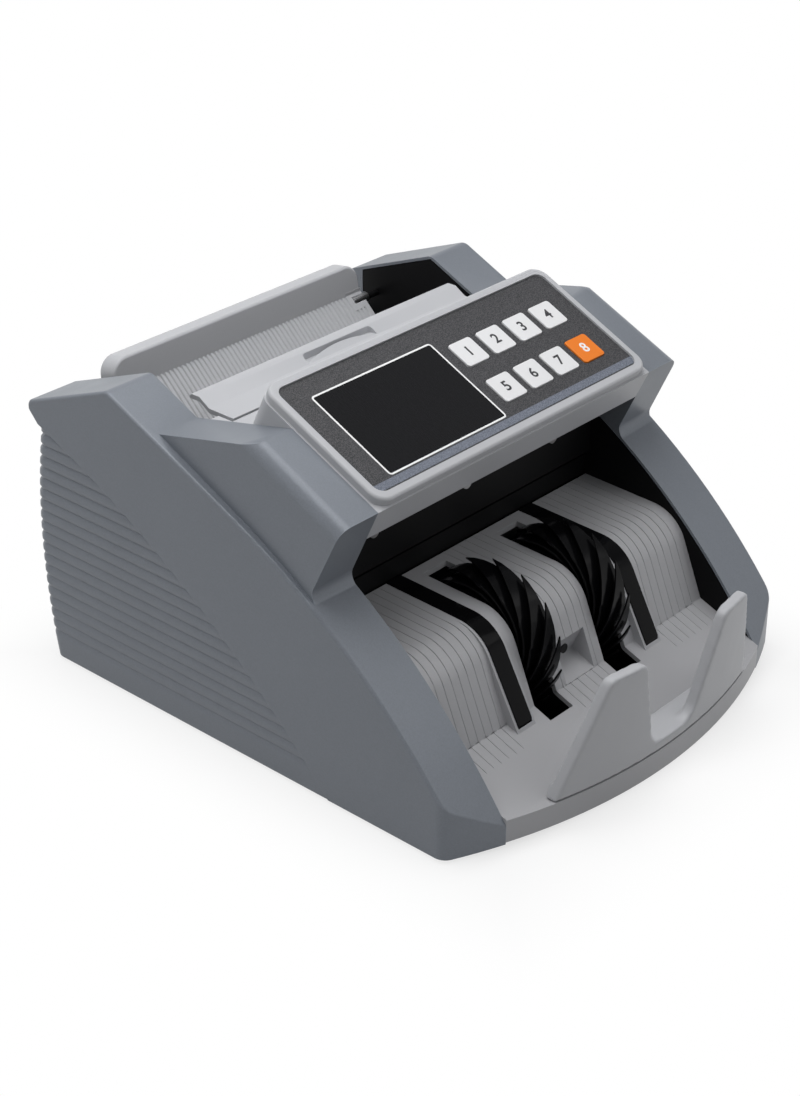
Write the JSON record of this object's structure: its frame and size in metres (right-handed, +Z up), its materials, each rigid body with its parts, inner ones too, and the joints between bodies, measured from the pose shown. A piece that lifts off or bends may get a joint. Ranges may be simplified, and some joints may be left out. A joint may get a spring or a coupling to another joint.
{
  "type": "banknote counting machine",
  "caption": "Tabletop banknote counter with a sloping rear hopper, tilted display and key panel, finned stacker wheels and a front note pocket with a sliding two-fin stop.",
  "frame": {"origin": "on the table below the middle of the machine's box", "axes": "+X to the machine's right as its user sees it, +Y to the back, +Z up"},
  "size_m": [0.25, 0.298, 0.1761],
  "materials": {
    "cover_grey": "satin, fine grain",
    "black_metal": "matt black powder coat",
    "light_grey": "satin",
    "steel": "turned",
    "motor_steel": "zinc coat",
    "screw_steel": "bright",
    "rubber_black": "matt",
    "bronze": "sintered",
    "black_plastic": "fine grain",
    "rocker_black": "polished",
    "pin_brass": "bright",
    "overlay_grey": "speckled film",
    "screen_black": "polished",
    "board_green": "lacquered board",
    "tray_grey": "satin",
    "strip_black": "polished",
    "wheel_black": "moulded, glossy",
    "pulley_black": "moulded",
    "key_white": "satin",
    "key_orange": "satin",
    "supply_aluminium": "folded sheet"
  },
  "bodies": {
    "chassis": {"right_side_cover": "cover_grey", "left_side_cover": "cover_grey", "right_inner_plate": "black_metal", "left_inner_plate": "black_metal", "shaft_bushings": "bronze", "base_pan": "black_metal", "rubber_feet": "rubber_black", "rear_cover": "cover_grey", "power_inlet": "black_plastic", "inlet_pins": "pin_brass", "switch_frame": "black_plastic", "display_housing": "light_grey", "panel_overlay": "overlay_grey", "screen_window": "screen_black", "display_board": "board_green", "feed_bed": "light_grey", "stacker_tray": "tray_grey", "guide_strips": "strip_black", "stack_sensor": "black_plastic", "main_motor": "motor_steel", "stacker_motor": "motor_steel", "drive_belts": "rubber_black", "lower_guide": "black_metal", "upper_guide": "black_metal", "sensor_board": "board_green", "throat_panel": "black_metal", "case_screws": "screw_steel", "retard_bracket": "steel", "retard_roller": "rubber_black", "main_board": "board_green", "power_supply": "supply_aluminium"},
    "stacker": {"stacker_shaft": "steel", "right_stacker_wheel": "wheel_black", "left_stacker_wheel": "wheel_black", "stacker_pulley": "pulley_black"},
    "stacker_drive": {"stacker_rotor": "steel"},
    "counting": {"counting_shaft": "steel", "counting_rollers": "rubber_black", "counting_pulley": "pulley_black"},
    "pinch": {"pinch_shaft": "steel", "pinch_rollers": "rubber_black"},
    "feed": {"feed_shaft": "steel", "feed_rollers": "rubber_black", "feed_pulley": "pulley_black"},
    "main_drive": {"main_rotor": "steel"},
    "hopper": {"hopper_plate": "light_grey", "hopper_pins": "steel"},
    "feed_lid": {"feed_cover": "light_grey"},
    "stop": {"note_stop": "light_grey"},
    "rocker": {"switch_rocker": "rocker_black"},
    "knob": {"gap_knob": "black_plastic"},
    "key_1_cap": {"key_1": "key_white"},
    "key_2_cap": {"key_2": "key_white"},
    "key_3_cap": {"key_3": "key_white"},
    "key_4_cap": {"key_4": "key_white"},
    "key_5_cap": {"key_5": "key_white"},
    "key_6_cap": {"key_6": "key_white"},
    "key_7_cap": {"key_7": "key_white"},
    "key_8_cap": {"key_8": "key_orange"}
  },
  "joints": [
    {"name": "stacker_spin", "type": "hinge", "parent": "chassis", "child": "stacker", "pos_m": [0, -0.0555, 0.0462], "axis": [1, 0, 0], "continuous": true},
    {"name": "stacker_drive_spin", "type": "hinge", "parent": "chassis", "child": "stacker_drive", "pos_m": [0, 0.004, 0.027], "axis": [1, 0, 0], "continuous": true},
    {"name": "counting_spin", "type": "hinge", "parent": "chassis", "child": "counting", "pos_m": [0, 0.018, 0.07], "axis": [1, 0, 0], "continuous": true},
    {"name": "pinch_spin", "type": "hinge", "parent": "chassis", "child": "pinch", "pos_m": [0, 0.018, 0.0965], "axis": [1, 0, 0], "continuous": true},
    {"name": "feed_spin", "type": "hinge", "parent": "chassis", "child": "feed", "pos_m": [0, 0.064, 0.066], "axis": [1, 0, 0], "continuous": true},
    {"name": "main_drive_spin", "type": "hinge", "parent": "chassis", "child": "main_drive", "pos_m": [0, 0.034, 0.027], "axis": [1, 0, 0], "continuous": true},
    {"name": "hopper_tilt", "type": "hinge", "parent": "chassis", "child": "hopper", "pos_m": [0, 0.1272, 0.1316], "axis": [-1, 0, 0], "range_deg": [0, 40]},
    {"name": "feed_lid_hinge", "type": "hinge", "parent": "chassis", "child": "feed_lid", "pos_m": [0, 0.047, 0.147], "axis": [1, 0, 0], "range_deg": [0, 75]},
    {"name": "stop_slide", "type": "slide", "parent": "chassis", "child": "stop", "axis": [0, -1, 0], "range_m": [0, 0.006]},
    {"name": "rocker_tilt", "type": "hinge", "parent": "chassis", "child": "rocker", "pos_m": [0.058, 0.1415, 0.034], "axis": [1, 0, 0], "range_deg": [0, 18]},
    {"name": "knob_turn", "type": "hinge", "parent": "chassis", "child": "knob", "pos_m": [0, 0.1415, 0.101], "axis": [0, 1, 0], "continuous": true},
    {"name": "key_1_press", "type": "slide", "parent": "chassis", "child": "key_1_cap", "axis": [0, 0.4226, -0.9063], "range_m": [0, 0.0008], "stiffness_N_per_m": 500},
    {"name": "key_2_press", "type": "slide", "parent": "chassis", "child": "key_2_cap", "axis": [0, 0.4226, -0.9063], "range_m": [0, 0.0008], "stiffness_N_per_m": 500},
    {"name": "key_3_press", "type": "slide", "parent": "chassis", "child": "key_3_cap", "axis": [0, 0.4226, -0.9063], "range_m": [0, 0.0008], "stiffness_N_per_m": 500},
    {"name": "key_4_press", "type": "slide", "parent": "chassis", "child": "key_4_cap", "axis": [0, 0.4226, -0.9063], "range_m": [0, 0.0008], "stiffness_N_per_m": 500},
    {"name": "key_5_press", "type": "slide", "parent": "chassis", "child": "key_5_cap", "axis": [0, 0.4226, -0.9063], "range_m": [0, 0.0008], "stiffness_N_per_m": 500},
    {"name": "key_6_press", "type": "slide", "parent": "chassis", "child": "key_6_cap", "axis": [0, 0.4226, -0.9063], "range_m": [0, 0.0008], "stiffness_N_per_m": 500},
    {"name": "key_7_press", "type": "slide", "parent": "chassis", "child": "key_7_cap", "axis": [0, 0.4226, -0.9063], "range_m": [0, 0.0008], "stiffness_N_per_m": 500},
    {"name": "key_8_press", "type": "slide", "parent": "chassis", "child": "key_8_cap", "axis": [0, 0.4226, -0.9063], "range_m": [0, 0.0008], "stiffness_N_per_m": 500}
  ],
  "couplings": [
    {"joint": "stacker_drive_spin", "follows": "stacker_spin", "ratio": 1},
    {"joint": "pinch_spin", "follows": "counting_spin", "ratio": -1.1667},
    {"joint": "feed_spin", "follows": "counting_spin", "ratio": 1},
    {"joint": "main_drive_spin", "follows": "counting_spin", "ratio": 1}
  ]
}
